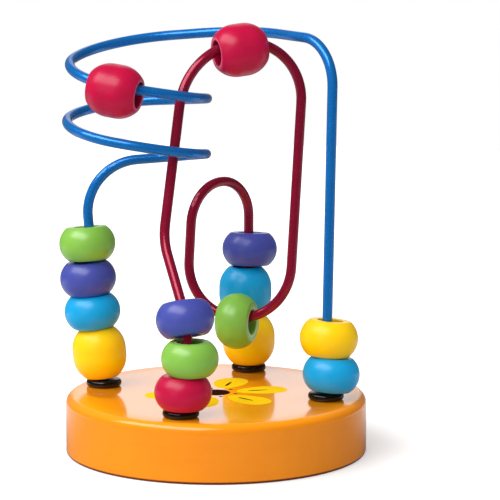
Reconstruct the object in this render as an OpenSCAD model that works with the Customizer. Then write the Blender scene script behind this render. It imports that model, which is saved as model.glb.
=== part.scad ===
// Bead maze: a round lacquered wooden base, two bent wires that each stand in two black bushes,
// and fifteen wooden beads that are threaded on the wires and slide along them.
// Millimetres, +Z up, origin at the centre of the base's underside.
// The blue wire's feet lie on the X axis and the red wire's feet on the Y axis.

/* [Base] */
// diameter of the wooden disc
base_d = 90.5; // [87:0.5:100]
// thickness of the wooden disc
base_t = 17.5; // [14:0.5:24]
// rounding of the upper edge
base_top_r = 2.5; // [1:0.25:4]
// rounding of the lower edge
base_bottom_r = 0.8; // [0.4:0.1:2]

/* [Bushes] */
// distance between the two feet of a wire
leg_circle_d = 70; // [68:0.5:72]
// how far the blue wire's feet stand left of the middle
blue_left = 0.8; // [0.4:0.1:1.2]
// outer diameter of the ring that shows on the base
bush_d = 10.7; // [10:0.1:12]
// height of the ring over the base
bush_h = 2.3; // [2.2:0.1:2.8]
// rounding of the ring's rim
bush_rim_r = 1.05; // [0.6:0.05:1.05]
// diameter of the stem that is glued into the base
stem_d = 6.4; // [5:0.1:7.5]
// depth of the blind socket, which is also the length of the stem
socket_depth = 9; // [6:0.5:12]
// gap that the glue fills, all round
glue_gap = 0.05; // [0.02:0.01:0.1]

/* [Wires] */
// thickness of both wires with their coat
wire_d = 3; // [2.6:0.1:3.2]
// straight wire over a bush before it may lean
foot_straight = 2.5; // [2:0.25:4]
// bend radius where a foot starts to lean
foot_r = 30; // [15:1:30]

/* [Blue wire] */
// how far the left leg leans outwards at its top
left_out = 5.7; // [4.5:0.1:7]
// how far the left leg leans forwards at its top
left_fore = 1.5; // [0:0.25:3]
// height of the left leg's upper corner over the stack of beads on it
left_rise = 20; // [19.2:0.1:22]
// bend radius at the top of the left leg
left_r = 16; // [13:0.5:18]
// centre line diameter of the coil
coil_d = 41.5; // [40:0.5:43]
// rise of the coil in one turn
coil_pitch = 16.5; // [15.5:0.25:18]
// place of the coil's axis along X
coil_x = -22.5; // [-23.5:0.25:-21.5]
// place of the coil's axis along Y
coil_y = -6; // [-7.5:0.25:-5]
// height of the coil's start over the left leg's upper corner
coil_rise = 3.75; // [2.75:0.25:5]
// slope of the coil's axis, left side up
coil_tilt = 2.5; // [1:0.25:4]
// where the wire leaves the coil, along X
exit_x = -40; // [-42:0.5:-38]
// where the wire leaves the coil, along Y
exit_y = 15.5; // [14:0.5:17]
// height of that place over the coil's start
exit_rise = 32.25; // [31.25:0.25:33.75]
// rearmost corner of the top run, along X
back_x = 3; // [0:0.5:6]
// rearmost corner of the top run, along Y
back_y = 24; // [23:0.5:27]
// height of that corner over the coil's start
back_rise = 35.75; // [34.75:0.25:37.5]
// bend radius at that corner
back_r = 36; // [30:1:40]
// height of the right leg's upper corner over the coil's start
right_rise = 34.75; // [33.75:0.25:36.5]
// how far the right leg leans outwards at its top
right_out = 1.8; // [1:0.1:2.6]
// bend radius at the top of the right leg
right_r = 13.5; // [11:0.5:15]

/* [Red wire] */
// bend over the two front beads, along X
kink_x = 2.5; // [2:0.1:3]
// bend over the two front beads, along Y
kink_y = -34.5; // [-34.8:0.1:-34.2]
// height of that bend over the two front beads
kink_rise = 3.2; // [2.8:0.1:3.6]
// bend radius there
kink_r = 19; // [17:0.5:21]
// knee where the slanted stretch turns up, along X
knee_x = -9.5; // [-10.5:0.25:-8.5]
// knee where the slanted stretch turns up, along Y
knee_y = -21.5; // [-22.5:0.25:-20.5]
// height of the knee over the bend below it
knee_rise = 24; // [22.5:0.25:25.5]
// bend radius of the knee
knee_r = 17.5; // [15:0.5:20]
// middle of the high arch, along X
arch_x = 8.5; // [7.5:0.25:9.5]
// middle of the high arch, along Y
arch_y = 3.5; // [2.5:0.25:4.5]
// height of the high arch over the base
arch_h = 105.5; // [103:0.5:108]
// width of the high arch
arch_span = 37; // [35:0.5:39]
// heading of the high arch seen from above
arch_yaw = 36; // [33:0.5:39]
// middle of the low dip, along X
dip_x = 3; // [2:0.25:4]
// middle of the low dip, along Y
dip_y = 12; // [11:0.25:13]
// height of the low dip over the base
dip_h = 21; // [20:0.25:24]
// width of the low dip
dip_span = 33; // [31.5:0.5:34.5]
// heading of the low dip seen from above
dip_yaw = -3.5; // [-6:0.5:0]
// inner corner of the back arch, along X
hump_x = -11.5; // [-12.5:0.25:-10.5]
// inner corner of the back arch, along Y
hump_y = 14; // [13:0.25:15]
// height of the back arch over the beads on the back leg
hump_rise = 17.7; // [17.1:0.1:19]

/* [Beads] */
// diameter of a squat bead
squat_d = 17; // [16:0.1:17.6]
// length of a squat bead
squat_h = 10.2; // [9.8:0.1:10.6]
// diameter of the flat end of a squat bead
squat_flat_d = 11.2; // [10.6:0.1:11.6]
// diameter of a slim bead, as the two lowest front beads are
slim_d = 16.7; // [16:0.1:17.4]
// length of a slim bead
slim_h = 9.9; // [9.5:0.1:10.3]
// diameter of the flat end of a slim bead
slim_flat_d = 10.9; // [10.3:0.1:11.3]
// diameter of a broad bead, as the upper right bead is
broad_d = 17.4; // [16.8:0.1:18]
// length of a broad bead
broad_h = 10.8; // [10.4:0.1:11.2]
// diameter of the flat end of a broad bead
broad_flat_d = 11.5; // [10.9:0.1:11.9]
// diameter of a tall bead
tall_d = 16.3; // [15.5:0.1:17]
// length of a tall bead
tall_h = 15.3; // [14.5:0.1:16]
// diameter of the flat end of a tall bead
tall_flat_d = 9.2; // [9:0.1:9.8]
// diameter of a round bead, as the two high red beads are
ball_d = 15.7; // [15:0.1:16.4]
// length of a round bead
ball_h = 15; // [14.4:0.1:15.6]
// diameter of the flat end of a round bead
ball_flat_d = 9; // [8.9:0.1:9.6]
// rounding between a bead's side and its flat end
edge_round = 0.9; // [0.7:0.1:1.2]
// rounding of the hole's mouth
mouth_round = 0.4; // [0.2:0.05:0.5]
// play between the wire and the bead's hole, all round
bore_play = 2.3; // [2:0.05:2.35]
// gap between beads that rest on each other
rest_gap = 0.05; // [0.02:0.01:0.2]
// gap between a hanging bead's hole and the wire it hangs on
hang_gap = 0.3; // [0.2:0.05:0.5]

/* [Where the beads rest] */
// sideways shift of the lowest bead on the left leg
left_shift_1 = 0.8; // [0:0.1:1.6]
// sideways shift of the second bead on the left leg
left_shift_2 = 1.7; // [0:0.1:2.1]
// sideways shift of the third bead on the left leg
left_shift_3 = 2; // [0:0.1:2.1]
// sideways shift of the fourth bead on the left leg
left_shift_4 = 1.1; // [0:0.1:1.6]
// backward tip of the fourth bead on the left leg
left_tip = 4; // [2:0.5:6]
// outward tip of the two beads on the right leg
right_tip = 4; // [2:0.5:5]
// backward tip of the two beads on the right leg
right_back = 4; // [2:0.5:5]
// sideways shift of the lower bead on the right leg
right_shift_1 = 1.6; // [0.8:0.1:1.7]
// sideways shift of the upper bead on the right leg against the lower one
right_shift_2 = -1.7; // [-2.2:0.1:-1]
// sideways shift of the lower bead on the front leg
front_shift_1 = 0.4; // [0:0.1:1.2]
// sideways shift of the upper bead on the front leg
front_shift_2 = 1.2; // [0:0.1:1.4]
// lean of the bead on the slanted stretch
slant_tilt = 18; // [16:0.5:20]
// height of that bead's middle over the bead below it, in bead lengths
slant_lift = 0.58; // [0.57:0.01:0.62]
// how far that bead is pushed off the wire, towards the back
slant_back = 1.8; // [1.5:0.1:2]
// how far that bead is pushed along the front
slant_side = 0.5; // [0:0.1:0.8]
// sideways shift of the middle bead on the back leg
back_shift_2 = 1.1; // [0:0.1:1.5]
// sideways shift of the top bead on the back leg, the other way
back_shift_3 = 0.3; // [0:0.1:1.5]
// backward tip of the top bead on the back leg
back_tip = 5; // [3:0.5:6]
// how far the high bead sits left of the arch's middle, in degrees of the arch
arch_bead_turn = 6; // [3:0.5:9]

/* [Hidden] */
$fn = 96;

orange_coat = [0.95, 0.57, 0.14];
blue_coat = [0.13, 0.43, 0.69];
crimson_coat = [0.51, 0.09, 0.18];
black_plastic = [0.05, 0.05, 0.06];
yellow_coat = [0.95, 0.77, 0.11];
sky_coat = [0.19, 0.60, 0.80];
purple_coat = [0.30, 0.32, 0.61];
green_coat = [0.53, 0.70, 0.33];
red_coat = [0.72, 0.12, 0.26];

up = [0, 0, 1];
full = 1000;
leg_r = leg_circle_d / 2;
left_x = -leg_r - blue_left;
right_x = leg_r - blue_left;
feet = [[left_x, 0, 0], [right_x, 0, 0], [0, -leg_r, 0], [0, leg_r, 0]];
bore_r = wire_d / 2 + bore_play;
// straight stretches are drawn a hair thinner than the bends and run a little way into them
slim = 0.02;
tuck = 0.3;
// a bead's side is drawn a hair under the arc that rounds its end
hair = 0.01;
hang = bore_play - hang_gap;
seat_z = base_t + bush_h;
lean_z = seat_z + foot_straight;
sock_z = base_t - socket_depth;

// small vector helpers
function unit(v) = v / norm(v);
function side_of(z) = unit(cross(abs(z[2]) < 0.9 ? up : [1, 0, 0], z));
function on_circle(r, a) = [r * cos(a), r * sin(a), 0];

// a wire is a chain of corner points; each corner is rounded by a true arc whose
// tangent length is held to half of the edges beside it
function heading(p, i) = unit(p[i + 1] - p[i]);
function half_turn(p, i) = acos(min(1, heading(p, i - 1) * heading(p, i))) / 2;
function room(p, i) = min(
    norm(p[i] - p[i - 1]) * (i == 1 ? 1 : 0.5) - tuck / 3,
    norm(p[i + 1] - p[i]) * (i == len(p) - 2 ? 1 : 0.5) - tuck / 3);
function inner(p, i) = i > 0 && i < len(p) - 1;
function reach(p, r, i) = inner(p, i) ? min(r[i] * tan(half_turn(p, i)), room(p, i)) : 0;

// corner points of the blue wire
left_lean = [left_x, 0, lean_z];
left_stack = tall_h + 3 * squat_h;
left_top = [left_x - left_out, -left_fore, seat_z + left_stack + left_rise];
coil_z = left_top[2] + coil_rise;
coil_corner_r = coil_d / 2 * sqrt(2);
function coil_corner(k) = let (c = on_circle(coil_corner_r, 45 - 90 * k))
    [coil_x + c[0], coil_y + c[1], coil_z + coil_pitch * k / 4 - c[0] * tan(coil_tilt)];
coil_corners = 7;
blue_route = concat(
    [[left_x, 0, sock_z], left_lean, left_top],
    [for (k = [0 : coil_corners - 1]) coil_corner(k)],
    [[exit_x, exit_y, coil_z + exit_rise],
     [back_x, back_y, coil_z + back_rise],
     [right_x + right_out, 0, coil_z + right_rise],
     [right_x, 0, lean_z],
     [right_x, 0, sock_z]]);
blue_bends = concat(
    [0, foot_r, left_r],
    [for (k = [0 : coil_corners - 1]) full],
    [full, back_r, right_r, foot_r, 0]);

// corner points of the red wire
front_lean = [0, -leg_r, lean_z];
front_stack = 2 * slim_h;
kink = [kink_x, kink_y, seat_z + front_stack + kink_rise];
knee = [knee_x, knee_y, kink[2] + knee_rise];
arch_mid = [arch_x, arch_y, base_t + arch_h];
arch_half = on_circle(arch_span / 2, arch_yaw);
dip_mid = [dip_x, dip_y, base_t + dip_h];
dip_half = on_circle(dip_span / 2, dip_yaw);
back_stack = 2 * tall_h + squat_h;
hump_z = seat_z + back_stack + hump_rise;
red_route = [
    [0, -leg_r, sock_z], front_lean, kink, knee,
    arch_mid - arch_half, arch_mid + arch_half,
    dip_mid + dip_half, dip_mid - dip_half,
    [hump_x, hump_y, hump_z], [0, leg_r, hump_z],
    [0, leg_r, sock_z]];
red_bends = [0, foot_r, kink_r, knee_r, full, full, full, full, full, full, 0];

// where the beads rest
left_u = unit(left_top - left_lean);
left_w = unit([-left_u[2], 0, left_u[0]]);
front_u = unit(kink - front_lean);
right_u = unit([right_out, 0, coil_z + right_rise - lean_z]);
// height of a leaning bead's middle over the bush it rests on
function lean_rise(u, h, flat_d) = rest_gap + edge_round
    + (h / 2 - edge_round) * u[2] + flat_d / 2 * sqrt(1 - u[2] * u[2]);
function lean_start(u, h, flat_d, shift) =
    (lean_rise(u, h, flat_d) - foot_straight + shift * sqrt(1 - u[2] * u[2])) / u[2] - h / 2;
left_start = lean_start(left_u, tall_h, tall_flat_d, left_shift_1);
function left_at(s, shift) = left_lean + left_u * (left_start + s) + left_w * shift;
squat_step = squat_h + rest_gap;
slim_step = slim_h + rest_gap;
tall_step = tall_h + rest_gap;
// the top bead on the left leg tips backwards on the bead below it
left_tip_u = unit(left_u + [0, tan(left_tip), 0]);
left_tip_rise = squat_flat_d / 2 * sin(left_tip);
// the right beads tip outwards on the rim of their bush
right_tip_u = unit([tan(right_tip), tan(right_back), 1]);
right_tip_w = unit([right_tip_u[2], 0, -right_tip_u[0]]);
right_rim = bush_d / 2 - bush_rim_r;
right_rest = rest_gap + squat_h / 2 * right_tip_u[2] + right_rim * norm([right_tip_u[0], right_tip_u[1]]);
right_low = [right_x + right_shift_1, 0, seat_z + right_rest];
right_high = right_low + right_tip_u * ((squat_h + broad_h) / 2 + rest_gap) + right_tip_w * right_shift_2;
// the top bead on the back leg tips backwards on the bead below it
back_tip_u = [0, sin(back_tip), cos(back_tip)];
back_tip_rise = squat_h / 2 * cos(back_tip) + tall_flat_d / 2 * sin(back_tip);
back_high = [back_shift_3, leg_r, seat_z + 2 * rest_gap + 2 * tall_step + back_tip_rise];
// the front beads lie flat on each other while the wire leans through them
function front_wire(z) = front_lean + front_u * ((z - lean_z) / front_u[2]);
function front_at(i, shift) = front_wire(seat_z + rest_gap + i * slim_step + slim_h / 2) + [shift, 0, 0];

slant_u = unit(knee - kink);
slant_b = unit([slant_u[0], slant_u[1], 0]);
slant_w = [-slant_b[1], slant_b[0], 0];
slant_axis = slant_b * sin(slant_tilt) + up * cos(slant_tilt);
slant_z = seat_z + 2 * slim_step + squat_h * slant_lift;
slant_on_wire = kink + slant_u * ((slant_z - kink[2]) / slant_u[2]);
slant_at = slant_on_wire + slant_b * slant_back - slant_w * slant_side;

coil_from = blue_route[8];
coil_to = blue_route[9];
coil_run = unit(coil_to - coil_from);
coil_sag = ball_h * ball_h / 8 / (coil_d / 2);
coil_drop = sqrt(hang * hang - coil_sag * coil_sag / 4) - coil_sag / 4;
coil_at = (coil_from + coil_to) / 2 - up * coil_drop + [0, coil_sag / 2, 0];

arch_u = unit(arch_half);
arch_left_u = unit(arch_mid - arch_half - knee);
arch_left_half = acos(arch_left_u * arch_u) / 2;
arch_r = arch_span / 2 / tan(arch_left_half);
arch_in = unit(-arch_left_u + arch_u * (arch_left_u * arch_u));
arch_pivot = arch_mid + arch_in * arch_r;
arch_run = arch_u * cos(arch_bead_turn) - arch_in * sin(arch_bead_turn);
arch_out = -arch_in * cos(arch_bead_turn) - arch_u * sin(arch_bead_turn);
arch_at = arch_pivot + arch_out * (arch_r - hang);

dip_sag = squat_h * squat_h / 8 / (dip_span / 2);
dip_at = dip_mid - up * (hang - 1.15 * dip_sag);
dip_run = unit(dip_half);

// puts the children at point o with their Z axis along z
module stand(o, z) {
    x = side_of(z);
    y = cross(z, x);
    lay(o, x, y, z)
        children();
}

// puts the children at point o with their axes along x, y and z
module lay(o, x, y, z) {
    multmatrix([
        [x[0], y[0], z[0], o[0]],
        [x[1], y[1], z[1], o[1]],
        [x[2], y[2], z[2], o[2]],
        [0, 0, 0, 1]])
        children();
}

// one straight stretch of wire between corners i and i + 1
module wire_straight(p, r, i) {
    e = heading(p, i);
    a = p[i] + e * (reach(p, r, i) - (inner(p, i) ? tuck : 0));
    b = p[i + 1] - e * (reach(p, r, i + 1) - (inner(p, i + 1) ? tuck : 0));
    stand(a, e)
        cylinder(d = wire_d - slim, h = norm(b - a));
}

// one bend of wire at corner i, a true piece of a torus
module wire_bend(p, r, i) {
    h = half_turn(p, i);
    t = reach(p, r, i);
    bend_r = t / tan(h);
    e = heading(p, i - 1);
    f = heading(p, i);
    n = unit(f - e * (e * f));
    lay(p[i] - e * t + n * bend_r, -n, e, cross(-n, e))
        rotate_extrude(angle = 2 * h)
            translate([bend_r, 0])
                circle(d = wire_d);
}

// a whole bent wire
module bent_wire(p, r) {
    union() {
        for (i = [0 : len(p) - 2])
            wire_straight(p, r, i);
        for (i = [1 : len(p) - 2])
            wire_bend(p, r, i);
    }
}

// half outline of a bead: a large side arc, a small arc at each end, flat ends and a hole;
// a long bead has a straight belt between two arcs that are centred on its axis
module bead_outline(d, h, flat_d) {
    e = edge_round - hair;
    m = d / 2 - e;
    xe = flat_d / 2;
    ze = h / 2 - edge_round;
    lone_c = (m * m - xe * xe - ze * ze) / (2 * (m - xe));
    c = max(0, lone_c);
    belt = lone_c < 0 ? ze - sqrt(m * m - xe * xe) : 0;
    side_r = d / 2 - c;
    tz = belt + (ze - belt) * side_r / (side_r - e);
    difference() {
        union() {
            translate([0, -h / 2])
                square([xe, h]);
            translate([xe, ze])
                circle(r = edge_round);
            translate([xe, -ze])
                circle(r = edge_round);
            if (belt > 0) {
                translate([0, -belt])
                    square([d / 2, 2 * belt]);
                for (s = [0, 1])
                    mirror([0, s])
                        intersection() {
                            translate([0, belt])
                                circle(r = side_r);
                            translate([0, belt])
                                square([d, tz - belt]);
                        }
            } else {
                intersection() {
                    translate([c, 0])
                        circle(r = side_r);
                    translate([0, -tz])
                        square([d, 2 * tz]);
                }
            }
        }
        translate([-d, -h])
            square([d + bore_r, 2 * h]);
        for (s = [0, 1])
            mirror([0, s])
                difference() {
                    translate([0, h / 2 - mouth_round])
                        square([bore_r + mouth_round, mouth_round + 1]);
                    translate([bore_r + mouth_round, h / 2 - mouth_round])
                        circle(r = mouth_round);
                }
    }
}

module squat_bead(o, z) {
    stand(o, z)
        rotate_extrude()
            bead_outline(squat_d, squat_h, squat_flat_d);
}

module broad_bead(o, z) {
    stand(o, z)
        rotate_extrude()
            bead_outline(broad_d, broad_h, broad_flat_d);
}

module slim_bead(o, z) {
    stand(o, z)
        rotate_extrude()
            bead_outline(slim_d, slim_h, slim_flat_d);
}

module tall_bead(o, z) {
    stand(o, z)
        rotate_extrude()
            bead_outline(tall_d, tall_h, tall_flat_d);
}

module ball_bead(o, z) {
    stand(o, z)
        rotate_extrude()
            bead_outline(ball_d, ball_h, ball_flat_d);
}

// a flanged ring with a stem and a hole for the wire
module bush(x, y) {
    rim_x = bush_d / 2 - bush_rim_r;
    hole_r = wire_d / 2 + glue_gap;
    translate([x, y, base_t])
        rotate_extrude()
            difference() {
                union() {
                    square([rim_x, bush_h]);
                    translate([0, bush_rim_r])
                        square([bush_d / 2, bush_h - 2 * bush_rim_r]);
                    translate([rim_x, bush_rim_r])
                        circle(r = bush_rim_r);
                    translate([rim_x, bush_h - bush_rim_r])
                        circle(r = bush_rim_r);
                    translate([0, -socket_depth])
                        square([stem_d / 2, socket_depth + bush_h / 2]);
                }
                translate([-bush_d, -2 * socket_depth])
                    square([bush_d + hole_r, 4 * socket_depth]);
            }
}

// the wooden disc with rounded edges and four blind sockets
module base() {
    r = base_d / 2;
    color(orange_coat)
        difference() {
            rotate_extrude()
                intersection() {
                    union() {
                        square([r - base_top_r, base_t]);
                        square([r - base_bottom_r, base_t - base_top_r]);
                        translate([0, base_bottom_r])
                            square([r, base_t - base_top_r - base_bottom_r]);
                        translate([r - base_top_r, base_t - base_top_r])
                            circle(r = base_top_r);
                        translate([r - base_bottom_r, base_bottom_r])
                            circle(r = base_bottom_r);
                    }
                    square([base_d, base_t]);
                }
            for (f = feet)
                translate(f + up * sock_z)
                    cylinder(d = stem_d + 2 * glue_gap, h = socket_depth + 1);
        }
}

module wire_blue() {
    color(blue_coat)
        bent_wire(blue_route, blue_bends);
}

module wire_red() {
    color(crimson_coat)
        bent_wire(red_route, red_bends);
}

module bush_left() {
    color(black_plastic)
        bush(left_x, 0);
}

module bush_right() {
    color(black_plastic)
        bush(right_x, 0);
}

module bush_front() {
    color(black_plastic)
        bush(0, -leg_r);
}

module bush_back() {
    color(black_plastic)
        bush(0, leg_r);
}

module bead_left_yellow() {
    color(yellow_coat)
        tall_bead(left_at(tall_h / 2, left_shift_1), left_u);
}

module bead_left_sky() {
    color(sky_coat)
        squat_bead(left_at(tall_step + squat_h / 2, left_shift_2), left_u);
}

module bead_left_purple() {
    color(purple_coat)
        squat_bead(left_at(tall_step + squat_step + squat_h / 2, left_shift_3), left_u);
}

module bead_left_green() {
    color(green_coat)
        squat_bead(left_at(tall_step + 2 * squat_step + left_tip_rise + squat_h / 2, left_shift_4), left_tip_u);
}

module bead_right_sky() {
    color(sky_coat)
        squat_bead(right_low, right_tip_u);
}

module bead_right_yellow() {
    color(yellow_coat)
        broad_bead(right_high, right_tip_u);
}

module bead_front_red() {
    color(red_coat)
        slim_bead(front_at(0, front_shift_1), up);
}

module bead_front_green() {
    color(green_coat)
        slim_bead(front_at(1, front_shift_2), up);
}

module bead_front_purple() {
    color(purple_coat)
        squat_bead(slant_at, slant_axis);
}

module bead_back_yellow() {
    color(yellow_coat)
        tall_bead([0, leg_r, seat_z + rest_gap + tall_h / 2], up);
}

module bead_back_sky() {
    color(sky_coat)
        tall_bead([-back_shift_2, leg_r, seat_z + rest_gap + tall_step + tall_h / 2], up);
}

module bead_back_purple() {
    color(purple_coat)
        squat_bead(back_high, back_tip_u);
}

module bead_coil_red() {
    color(red_coat)
        ball_bead(coil_at, coil_run);
}

module bead_arch_red() {
    color(red_coat)
        ball_bead(arch_at, arch_run);
}

module bead_dip_green() {
    color(green_coat)
        squat_bead(dip_at, dip_run);
}

base();
wire_blue();
wire_red();
bush_left();
bush_right();
bush_front();
bush_back();
bead_left_yellow();
bead_left_sky();
bead_left_purple();
bead_left_green();
bead_right_sky();
bead_right_yellow();
bead_front_red();
bead_front_green();
bead_front_purple();
bead_back_yellow();
bead_back_sky();
bead_back_purple();
bead_coil_red();
bead_arch_red();
bead_dip_green();
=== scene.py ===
import math

import bmesh
import bpy
from mathutils import Matrix, Vector


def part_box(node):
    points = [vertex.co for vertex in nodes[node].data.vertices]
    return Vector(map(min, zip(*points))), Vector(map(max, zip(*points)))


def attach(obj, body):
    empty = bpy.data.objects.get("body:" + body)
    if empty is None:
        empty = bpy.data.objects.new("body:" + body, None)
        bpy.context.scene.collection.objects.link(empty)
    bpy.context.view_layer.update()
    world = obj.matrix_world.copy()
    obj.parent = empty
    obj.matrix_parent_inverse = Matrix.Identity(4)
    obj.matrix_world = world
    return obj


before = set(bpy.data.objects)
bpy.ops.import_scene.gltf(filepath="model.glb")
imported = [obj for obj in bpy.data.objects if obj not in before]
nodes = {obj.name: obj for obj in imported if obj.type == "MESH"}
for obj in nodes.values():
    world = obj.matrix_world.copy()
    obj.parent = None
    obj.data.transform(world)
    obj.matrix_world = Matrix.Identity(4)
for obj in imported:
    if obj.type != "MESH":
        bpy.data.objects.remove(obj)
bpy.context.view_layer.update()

MM = 0.001
BASE_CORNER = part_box("base")[1]
BASE_RADIUS = BASE_CORNER.x
BASE_TOP = BASE_CORNER.z
HOLE_RADIUS = 3.8 * MM
# a place times this loses its height, so that its length is its distance from the Z axis
LEVEL = (1.0, 1.0, 0.0)
# two level directions in the studio
TO_BACK = (-0.28, 0.96, 0.0)
TO_RIGHT = (0.96, 0.28, 0.0)


# Helpers

def linear(hex_colour):
    """An sRGB hex colour as linear RGBA."""
    channels = [int(hex_colour[i:i + 2], 16) / 255 for i in (0, 2, 4)]
    return [c / 12.92 if c <= 0.04045 else ((c + 0.055) / 1.055) ** 2.4 for c in channels] + [1.0]


def add(tree, kind, inputs=None, **settings):
    """Adds a node with its settings. An input is a value, a socket that feeds it,
    or a node that feeds it by its first live output."""
    made = tree.nodes.new(kind)
    for key, value in settings.items():
        setattr(made, key, value)
    for key, value in (inputs or {}).items():
        if isinstance(value, bpy.types.Node):
            value = next(socket for socket in value.outputs if socket.enabled)
        if isinstance(value, bpy.types.NodeSocket):
            tree.links.new(value, made.inputs[key])
        else:
            made.inputs[key].default_value = value
    return made


def blank(name):
    """A new material and its empty node tree."""
    material = bpy.data.materials.new(name)
    material.use_nodes = True
    material.node_tree.nodes.clear()
    return material, material.node_tree


def dress(piece, material):
    """The piece wears this material and nothing else."""
    piece.data.materials.clear()
    piece.data.materials.append(material)


# Materials

def orange_lacquer():
    """Opaque gloss lacquer sprayed on a sanded wooden disc: a wet-looking skin with a faint
    orange-peel ripple, wood lines that just tell and a clear coat on top; the upper face is coloured
    lighter as painted light, and a darker line along the lower edge is painted shade."""
    film_drift = 18 * MM
    line_spacing = 2.4 * MM
    edge_shade_height = 1.0 * MM
    peel_spacing = 1.6 * MM
    peel_depth = 0.03 * MM
    haze_patch = 9 * MM
    material, tree = blank("orange_gloss_lacquer_on_wood")
    place = add(tree, "ShaderNodeTexCoord").outputs["Object"]
    height = add(tree, "ShaderNodeSeparateXYZ", {0: place}).outputs["Z"]
    # the colour drifts with the thickness of the film
    drift = add(tree, "ShaderNodeTexNoise", {"Vector": place, "Scale": 1 / film_drift, "Detail": 2.0})
    film = add(tree, "ShaderNodeMix", {"Factor": drift, "A": linear("EC8E12"), "B": linear("E6820A")},
               data_type="RGBA")
    # growth lines of the wood, drawn out along X
    drawn = add(tree, "ShaderNodeMapping", {"Vector": place, "Scale": (0.06, 1.0, 1.0)})
    lines = add(tree, "ShaderNodeTexNoise", {"Vector": drawn, "Scale": 1 / line_spacing, "Detail": 3.0})
    line_share = add(tree, "ShaderNodeMapRange", {"Value": lines, "From Min": 0.45, "From Max": 0.75,
                                                  "To Min": 0.0, "To Max": 0.10})
    lined = add(tree, "ShaderNodeMix", {"Factor": line_share, "A": film, "B": linear("CC6A08")},
                data_type="RGBA")
    # painted light: the upper face is coloured lighter, standing in for the stronger light that falls on it
    # from above
    upper = add(tree, "ShaderNodeMapRange", {"Value": height, "From Min": BASE_TOP - 1.5 * MM,
                                             "From Max": BASE_TOP - 0.2 * MM})
    painted_top_light = add(tree, "ShaderNodeMix", {"Factor": upper, "A": lined, "B": linear("FA9812")},
               data_type="RGBA")
    # painted shade: a darker line along the lower edge, standing in for the contact shadow where the base
    # meets the floor
    painted_edge_shade = add(tree, "ShaderNodeMapRange", {"Value": height, "From Min": 0.6 * edge_shade_height,
                                            "From Max": edge_shade_height, "To Min": 1.0, "To Max": 0.0})
    colour = add(tree, "ShaderNodeMix", {"Factor": painted_edge_shade, "A": painted_top_light, "B": linear("742200")},
                 data_type="RGBA")
    # orange peel of the sprayed skin
    peel = add(tree, "ShaderNodeTexNoise", {"Vector": place, "Scale": 1 / peel_spacing, "Detail": 1.0})
    ripple = add(tree, "ShaderNodeBump", {"Height": peel, "Strength": 0.12, "Distance": peel_depth})
    # patches of haze from handling
    haze = add(tree, "ShaderNodeTexNoise", {"Vector": place, "Scale": 1 / haze_patch, "Detail": 4.0})
    rough = add(tree, "ShaderNodeMapRange", {"Value": haze, "To Min": 0.10, "To Max": 0.20})
    # a clear coat lies on the upper face only and thins out towards the rounded rim
    across = add(tree, "ShaderNodeVectorMath", {0: place, 1: LEVEL}, operation="MULTIPLY")
    radius = add(tree, "ShaderNodeVectorMath", {0: across}, operation="LENGTH")
    reach = add(tree, "ShaderNodeMapRange", {"Value": radius, "From Min": BASE_RADIUS - 9.25 * MM,
                                             "From Max": BASE_RADIUS - 1.75 * MM,
                                             "To Min": 1.0, "To Max": 0.20},
                interpolation_type="SMOOTHSTEP")
    clear = add(tree, "ShaderNodeMath", {0: reach, 1: upper}, operation="MULTIPLY")
    skin = add(tree, "ShaderNodeBsdfPrincipled", {
        "Base Color": colour, "Roughness": rough, "IOR": 1.5, "Normal": ripple,
        "Coat Weight": clear, "Coat Roughness": 0.07, "Coat IOR": 1.6})
    add(tree, "ShaderNodeOutputMaterial", {"Surface": skin})
    return material


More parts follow.
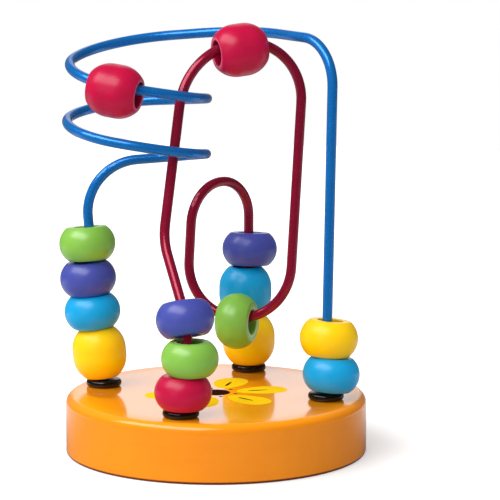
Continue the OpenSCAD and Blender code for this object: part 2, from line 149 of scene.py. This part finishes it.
def bead_lacquer(name, main, deep, pale, gloss, centre, axis, length):
    """Satin toy lacquer on a turned beech bead: an even skin with soft highlights, a faint lengthwise
    grain under it, a paler worn ring at each mouth of the hole and a deeper tone inside the hole."""
    film_drift = 7 * MM
    grain_width = 0.7 * MM
    grain_depth = 0.02 * MM
    material, tree = blank(name)
    place = add(tree, "ShaderNodeTexCoord").outputs["Object"]
    # the pattern is turned so that its Z runs along the hole
    turn = Vector(axis).to_track_quat("Z", "Y").to_euler()
    local = add(tree, "ShaderNodeMapping", {"Vector": place, "Location": centre, "Rotation": turn},
                vector_type="TEXTURE")
    # the colour drifts with the thickness of the film
    drift = add(tree, "ShaderNodeTexNoise", {"Vector": local, "Scale": 1 / film_drift, "Detail": 2.0})
    drift_share = add(tree, "ShaderNodeMapRange", {"Value": drift, "From Min": 0.3, "From Max": 0.7,
                                                   "To Min": 0.0, "To Max": 0.35})
    film = add(tree, "ShaderNodeMix", {"Factor": drift_share, "A": linear(main), "B": linear(deep)},
               data_type="RGBA")
    # worn ring, by the distance from the rounded edge where the hole opens
    across = add(tree, "ShaderNodeVectorMath", {0: local, 1: LEVEL}, operation="MULTIPLY")
    radius = add(tree, "ShaderNodeVectorMath", {0: across}, operation="LENGTH")
    along = add(tree, "ShaderNodeSeparateXYZ", {0: local}).outputs["Z"]
    height = add(tree, "ShaderNodeMath", {0: along}, operation="ABSOLUTE")
    off_ring = add(tree, "ShaderNodeMath", {0: radius, 1: HOLE_RADIUS + 0.2 * MM}, operation="SUBTRACT")
    off_end = add(tree, "ShaderNodeMath", {0: height, 1: length / 2}, operation="SUBTRACT")
    off_both = add(tree, "ShaderNodeCombineXYZ", {0: off_ring, 1: off_end})
    off_mouth = add(tree, "ShaderNodeVectorMath", {0: off_both}, operation="LENGTH")
    worn = add(tree, "ShaderNodeMapRange", {"Value": off_mouth, "From Min": 0.25 * MM,
                                            "From Max": 1.0 * MM, "To Min": 0.50, "To Max": 0.0})
    rimmed = add(tree, "ShaderNodeMix", {"Factor": worn, "A": film, "B": linear(pale)}, data_type="RGBA")
    # deeper tone on the wall of the hole
    inside = add(tree, "ShaderNodeMapRange", {"Value": radius, "From Min": HOLE_RADIUS + 0.01 * MM,
                                              "From Max": HOLE_RADIUS + 0.12 * MM,
                                              "To Min": 0.75, "To Max": 0.0})
    colour = add(tree, "ShaderNodeMix", {"Factor": inside, "A": rimmed, "B": linear(deep)},
                 data_type="RGBA")
    # grain ten times as long as wide, pressed through the film
    drawn = add(tree, "ShaderNodeMapping", {"Vector": local, "Scale": (1.0, 1.0, 0.1)})
    grain = add(tree, "ShaderNodeTexNoise", {"Vector": drawn, "Scale": 1 / grain_width, "Detail": 2.0})
    relief = add(tree, "ShaderNodeBump", {"Height": grain, "Strength": 0.12, "Distance": grain_depth})
    rough = add(tree, "ShaderNodeMapRange", {"Value": drift, "To Min": 0.26, "To Max": 0.34})
    skin = add(tree, "ShaderNodeBsdfPrincipled", {
        "Base Color": colour, "Roughness": rough, "IOR": 1.5, "Specular IOR Level": gloss,
        "Normal": relief})
    add(tree, "ShaderNodeOutputMaterial", {"Surface": skin})
    return material


def wire_enamel(name, main, deep, edge, metallic, roughness):
    """Baked enamel with metal flake on steel wire: a gloss skin whose fine crinkle breaks the long
    highlights into flecks, darker at the edges, mottled where the coat ran, duller where beads rub."""
    run_size = 4 * MM
    scuff_size = 1.5 * MM
    crinkle_size = 1.8 * MM
    crinkle_depth = 0.05 * MM
    material, tree = blank(name)
    place = add(tree, "ShaderNodeTexCoord").outputs["Object"]
    # runs of the coat
    runs = add(tree, "ShaderNodeTexNoise", {"Vector": place, "Scale": 1 / run_size, "Detail": 2.0})
    colour = add(tree, "ShaderNodeMix", {"Factor": runs, "A": linear(main), "B": linear(deep)},
                 data_type="RGBA")
    # short scuffs
    scuffs = add(tree, "ShaderNodeTexNoise", {"Vector": place, "Scale": 1 / scuff_size, "Detail": 3.0})
    rough = add(tree, "ShaderNodeMapRange", {"Value": scuffs, "From Min": 0.5, "From Max": 0.75,
                                             "To Min": roughness, "To Max": roughness + 0.16})
    # crinkle of the baked coat
    crinkle = add(tree, "ShaderNodeTexNoise", {"Vector": place, "Scale": 1 / crinkle_size, "Detail": 1.0})
    ripple = add(tree, "ShaderNodeBump", {"Height": crinkle, "Strength": 0.25, "Distance": crinkle_depth})
    skin = add(tree, "ShaderNodeBsdfPrincipled", {
        "Base Color": colour, "Roughness": rough, "Metallic": metallic, "IOR": 1.5, "Normal": ripple,
        "Specular IOR Level": 0.3, "Specular Tint": linear(edge),
        "Coat Weight": 0.65, "Coat Roughness": 0.09, "Coat Normal": ripple})
    add(tree, "ShaderNodeOutputMaterial", {"Surface": skin})
    return material


def black_bush_plastic():
    """Injection-moulded black polyamide: near-black with a crisp rim highlight and a fine mould texture."""
    texture_size = 0.5 * MM
    texture_depth = 0.015 * MM
    material, tree = blank("moulded_black_plastic")
    place = add(tree, "ShaderNodeTexCoord").outputs["Object"]
    mould = add(tree, "ShaderNodeTexNoise", {"Vector": place, "Scale": 1 / texture_size, "Detail": 2.0})
    colour = add(tree, "ShaderNodeMix", {"Factor": mould, "A": linear("060405"), "B": linear("0E090B")},
                 data_type="RGBA")
    rough = add(tree, "ShaderNodeMapRange", {"Value": mould, "To Min": 0.14, "To Max": 0.26})
    relief = add(tree, "ShaderNodeBump", {"Height": mould, "Strength": 0.1, "Distance": texture_depth})
    skin = add(tree, "ShaderNodeBsdfPrincipled", {
        "Base Color": colour, "Roughness": rough, "IOR": 1.5, "Normal": relief})
    add(tree, "ShaderNodeOutputMaterial", {"Surface": skin})
    return material


def printing_ink(name, main, thin):
    """Opaque screen-printing ink on the lacquer: a flat even colour with the faint mottle of the screen,
    a little thinner in pinhead spots and nearly matt beside the lacquer round it."""
    mottle_size = 5 * MM
    spot_spacing = 0.35 * MM
    spot_depth = 0.01 * MM
    material, tree = blank(name)
    place = add(tree, "ShaderNodeTexCoord").outputs["Object"]
    mottle = add(tree, "ShaderNodeTexNoise", {"Vector": place, "Scale": 1 / mottle_size, "Detail": 3.0})
    spots = add(tree, "ShaderNodeTexVoronoi", {"Vector": place, "Scale": 1 / spot_spacing})
    spot_share = add(tree, "ShaderNodeMapRange", {"Value": spots, "From Min": 0.05, "From Max": 0.25,
                                                  "To Min": 0.35, "To Max": 0.0})
    share = add(tree, "ShaderNodeMath", {0: mottle, 1: spot_share}, operation="MULTIPLY")
    colour = add(tree, "ShaderNodeMix", {"Factor": share, "A": linear(main), "B": linear(thin)},
                 data_type="RGBA")
    rough = add(tree, "ShaderNodeMapRange", {"Value": mottle, "To Min": 0.45, "To Max": 0.60})
    relief = add(tree, "ShaderNodeBump", {"Height": spots, "Strength": 0.06, "Distance": spot_depth})
    skin = add(tree, "ShaderNodeBsdfPrincipled", {
        "Base Color": colour, "Roughness": rough, "IOR": 1.5, "Specular IOR Level": 0.0,
        "Normal": relief})
    add(tree, "ShaderNodeOutputMaterial", {"Surface": skin})
    return material


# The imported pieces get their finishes

# bead lengths
TALL = 15.3 * MM
BALL = 15.0 * MM
BROAD = 10.8 * MM
SQUAT = 10.2 * MM
SLIM = 9.9 * MM
# ways that the holes of several beads point
UP = (0.0, 0.0, 1.0)
LEFT_LEG = (-0.0895, -0.0236, 0.9957)
RIGHT_LEG = (0.0696, 0.0696, 0.9951)
# the lacquer's colour, its colour where the film is thick and where it is worn, and its gloss
COATS = {
    "yellow": ("FACA00", "F2B000", "FFE070", 0.30),
    "sky": ("009CD4", "008AC2", "8CD4F0", 0.46),
    "purple": ("424CA0", "363A90", "969ED4", 0.54),
    "green": ("80B844", "6EA636", "CDEAA8", 0.70),
    "red": ("BA003A", "A00032", "E47C98", 0.36),
}
# the way that the hole points, and the length
BEADS = {
    "bead_left_yellow": (LEFT_LEG, TALL),
    "bead_left_sky": (LEFT_LEG, SQUAT),
    "bead_left_purple": (LEFT_LEG, SQUAT),
    "bead_left_green": ((-0.0894, 0.0463, 0.9949), SQUAT),
    "bead_right_sky": (RIGHT_LEG, SQUAT),
    "bead_right_yellow": (RIGHT_LEG, BROAD),
    "bead_front_red": (UP, SLIM),
    "bead_front_green": (UP, SLIM),
    "bead_front_purple": ((-0.2096, 0.2271, 0.9511), SQUAT),
    "bead_back_yellow": (UP, TALL),
    "bead_back_sky": (UP, TALL),
    "bead_back_purple": ((0.0, 0.0872, 0.9962), SQUAT),
    "bead_coil_red": ((-0.9899, 0.0, 0.1416), BALL),
    "bead_arch_red": ((0.7942, 0.5989, 0.1030), BALL),
    "bead_dip_green": ((0.9981, -0.0610, 0.0), SQUAT),
}

dress(nodes["base"], orange_lacquer())
dress(nodes["wire_blue"], wire_enamel("blue_baked_enamel_on_steel", main="1C7ED2", deep="1870C0",
                                      edge="1C4478", metallic=0.45, roughness=0.26))
dress(nodes["wire_red"], wire_enamel("crimson_metallic_enamel_on_steel", main="9A1A38", deep="84122E",
                                     edge="3A0814", metallic=0.38, roughness=0.22))
bush_plastic = black_bush_plastic()
for side in ("left", "right", "front", "back"):
    dress(nodes["bush_" + side], bush_plastic)
for bead, (axis, length) in BEADS.items():
    low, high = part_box(bead)
    coat = bead.split("_")[-1]
    finish = coat + "_satin_lacquer_on_beech_" + bead
    dress(nodes[bead], bead_lacquer(finish, *COATS[coat], (low + high) / 2, axis, length))


# The print on the base: a plain six-petalled flower

INK_FOOT = 0.02 * MM
YELLOW_INK = 0.02 * MM
BROWN_INK = 0.03 * MM
SIXTH = math.radians(60)


def print_film(name, blots, level, material):
    """A thin film of ink on the base: rounded blots, egg-shaped if they taper, raised to the film's level.
    A blot is half width, half length, distance of its middle from the base's centre, turn and taper."""
    made = bmesh.new()
    for half_width, half_length, reach, turn, taper in blots:
        blot = bmesh.ops.create_circle(made, cap_ends=True, segments=48, radius=1.0)["verts"]
        for vert in blot:
            vert.co.x *= half_width * (1 + taper * vert.co.y)
            vert.co.y = vert.co.y * half_length + reach
        bmesh.ops.rotate(made, verts=blot, cent=(0, 0, 0), matrix=Matrix.Rotation(turn, 3, "Z"))
    # the film's foot is sunk a little, so that no gap shows under it
    bmesh.ops.translate(made, verts=made.verts, vec=(0, 0, BASE_TOP - INK_FOOT))
    raised = bmesh.ops.extrude_face_region(made, geom=made.faces[:])["geom"]
    bmesh.ops.translate(made, verts=[part for part in raised if isinstance(part, bmesh.types.BMVert)],
                        vec=(0, 0, level + INK_FOOT))
    bmesh.ops.recalc_face_normals(made, faces=made.faces[:])
    mesh = bpy.data.meshes.new(name)
    made.to_mesh(mesh)
    made.free()
    piece = bpy.data.objects.new(name, mesh)
    bpy.context.scene.collection.objects.link(piece)
    dress(piece, material)
    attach(piece, "frame")


yellow_ink = printing_ink("yellow_screen_printing_ink", "F9CB18", "F6B61C")
brown_ink = printing_ink("dark_brown_screen_printing_ink", "35170F", "4A2415")
petals = [(5.0 * MM, 7.8 * MM, 14.2 * MM, SIXTH * i, 0.22) for i in range(6)]
middle = [(4.2 * MM, 4.2 * MM, 0.0, 0.0, 0.0)]
veins = [(0.45 * MM, 3.2 * MM, 13.0 * MM, SIXTH * i, -0.3) for i in range(6)]
grains = [(0.55 * MM, 0.55 * MM, 6.1 * MM, SIXTH * (i + 0.5), 0.0) for i in range(6)]
print_film("print_flower_petals", petals, YELLOW_INK, yellow_ink)
print_film("print_flower_middle", middle + veins + grains, BROWN_INK, brown_ink)


# Floor

FLOOR_HALF = (0.80, 0.46, 1.0)
FLOOR_MIDDLE = (0.0, 0.29, 0.0)


def white_paper_floor():
    """Matt white background paper: takes the soft shadow and otherwise shows as white."""
    dim = 0.12
    bright = 0.90
    material, tree = blank("white_background_paper")
    ray = add(tree, "ShaderNodeLightPath")
    place = add(tree, "ShaderNodeTexCoord").outputs["Object"]
    # shiny things see a band of bright paper close behind the toy and dim paper elsewhere
    behind = add(tree, "ShaderNodeVectorMath", {0: place, 1: TO_BACK}, operation="DOT_PRODUCT")
    rise = add(tree, "ShaderNodeMapRange", {"Value": behind, "From Min": 0.0, "From Max": 50 * MM,
                                            "To Min": dim, "To Max": bright})
    fall = add(tree, "ShaderNodeMapRange", {"Value": behind, "From Min": 120 * MM, "From Max": 180 * MM,
                                            "To Min": bright, "To Max": dim})
    band = add(tree, "ShaderNodeMath", {0: rise, 1: fall}, operation="MINIMUM")
    mirrored = add(tree, "ShaderNodeMath", {0: ray.outputs["Is Glossy Ray"], 1: band},
                   operation="MULTIPLY")
    direct = add(tree, "ShaderNodeMath", {0: ray.outputs["Is Camera Ray"],
                                          1: ray.outputs["Is Transmission Ray"]}, operation="MAXIMUM")
    seen = add(tree, "ShaderNodeMath", {0: direct, 1: mirrored}, operation="MAXIMUM")
    # the lamps reach less far than the paper, so its own white rises outwards from the toy
    outwards = add(tree, "ShaderNodeVectorMath", {0: place}, operation="LENGTH")
    white = add(tree, "ShaderNodeMapRange", {"Value": outwards, "From Min": 48 * MM, "From Max": 85 * MM,
                                             "To Min": 0.40, "To Max": 0.74},
                interpolation_type="SMOOTHSTEP")
    glow = add(tree, "ShaderNodeMath", {0: seen, 1: white}, operation="MULTIPLY")
    # shiny things see the paper dimmer than the eye does
    tone = add(tree, "ShaderNodeMix", {"Factor": ray.outputs["Is Glossy Ray"], "A": linear("C8C8C8"),
                                       "B": linear("747474")}, data_type="RGBA")
    paper = add(tree, "ShaderNodeBsdfDiffuse", {"Color": tone})
    shine = add(tree, "ShaderNodeEmission", {"Color": linear("FFFFFF"), "Strength": glow})
    both = add(tree, "ShaderNodeAddShader", {0: paper, 1: shine})
    add(tree, "ShaderNodeOutputMaterial", {"Surface": both})
    return material


floor_mesh = bpy.data.meshes.new("floor")
sheet = bmesh.new()
bmesh.ops.create_grid(sheet, x_segments=1, y_segments=1, size=1.0)
bmesh.ops.scale(sheet, verts=sheet.verts, vec=FLOOR_HALF)
bmesh.ops.translate(sheet, verts=sheet.verts, vec=FLOOR_MIDDLE)
sheet.to_mesh(floor_mesh)
sheet.free()
floor = bpy.data.objects.new("floor", floor_mesh)
bpy.context.scene.collection.objects.link(floor)
dress(floor, white_paper_floor())


# Light

LAMPS_AIM = Vector((0.0, 0.0, 0.06))


def studio_room():
    """The room round the toy: white to the eye, soft light for matt things, and for shiny things
    one white panel straight behind the toy in a dim room."""
    white = 1.0
    dim = 0.04
    left_walls = 0.72
    right_walls = 0.62
    world = bpy.data.worlds.new("studio")
    world.use_nodes = True
    tree = world.node_tree
    tree.nodes.clear()
    ray = add(tree, "ShaderNodeLightPath")
    way = add(tree, "ShaderNodeTexCoord").outputs["Generated"]
    ahead = add(tree, "ShaderNodeVectorMath", {0: way, 1: TO_BACK}, operation="DOT_PRODUCT")
    aside = add(tree, "ShaderNodeVectorMath", {0: way, 1: TO_RIGHT}, operation="DOT_PRODUCT")
    # the panel, by how straight behind and how far from its middle a place lies
    depth = add(tree, "ShaderNodeMapRange", {"Value": ahead, "From Min": 0.55, "From Max": 0.92},
                interpolation_type="SMOOTHSTEP")
    off_middle = add(tree, "ShaderNodeMath", {0: aside}, operation="ABSOLUTE")
    width = add(tree, "ShaderNodeMapRange", {"Value": off_middle, "From Min": 0.08, "From Max": 0.26,
                                             "To Min": 1.0, "To Max": 0.12},
                interpolation_type="SMOOTHSTEP")
    panel = add(tree, "ShaderNodeMath", {0: depth, 1: width}, operation="MULTIPLY")
    room = add(tree, "ShaderNodeMapRange", {"Value": panel, "To Min": dim, "To Max": white})
    # the soft light falls off a little to the right
    walls = add(tree, "ShaderNodeMapRange", {"Value": aside, "From Min": -1.0, "From Max": 1.0,
                                             "To Min": left_walls, "To Max": right_walls})
    unseen = add(tree, "ShaderNodeMix", {"Factor": ray.outputs["Is Glossy Ray"], "A": walls, "B": room},
                 data_type="FLOAT")
    direct = add(tree, "ShaderNodeMath", {0: ray.outputs["Is Camera Ray"],
                                          1: ray.outputs["Is Transmission Ray"]}, operation="MAXIMUM")
    level = add(tree, "ShaderNodeMix", {"Factor": direct, "A": unseen, "B": white}, data_type="FLOAT")
    air = add(tree, "ShaderNodeBackground", {"Color": linear("FFFFFF"), "Strength": level})
    add(tree, "ShaderNodeOutputWorld", {"Surface": air})
    return world


def softbox(name, place, width, height, power, mirrored):
    """A soft light turned to the toy's middle; shiny things show it only if it is mirrored."""
    lamp = bpy.data.lights.new(name, "AREA")
    lamp.shape = "RECTANGLE"
    lamp.size = width
    lamp.size_y = height
    lamp.energy = power
    holder = bpy.data.objects.new(name, lamp)
    holder.location = place
    holder.rotation_euler = (LAMPS_AIM - Vector(place)).to_track_quat("-Z", "Y").to_euler()
    holder.visible_glossy = mirrored
    bpy.context.scene.collection.objects.link(holder)


bpy.context.scene.world = studio_room()
softbox("key_upper_left", (-0.54, -0.77, 1.24), width=1.90, height=0.86, power=25.0, mirrored=True)
softbox("fill_front", (-0.40, -1.02, 0.26), width=0.60, height=0.60, power=2.5, mirrored=False)
softbox("side_left", (-1.00, 0.30, 0.45), width=0.70, height=0.70, power=2.0, mirrored=False)


# Camera

CAMERA_PLACE = (0.2339, -0.7650, 0.1887)
DEGREES_DOWN = 9.07
DEGREES_TO_LEFT = 16.27

lens = bpy.data.cameras.new("camera")
lens.sensor_width = 36.0
lens.lens = 195.0
camera = bpy.data.objects.new("camera", lens)
camera.location = CAMERA_PLACE
camera.rotation_euler = (math.radians(90 - DEGREES_DOWN), 0, math.radians(DEGREES_TO_LEFT))
bpy.context.scene.collection.objects.link(camera)
bpy.context.scene.camera = camera
bpy.context.scene.view_settings.view_transform = "Standard"
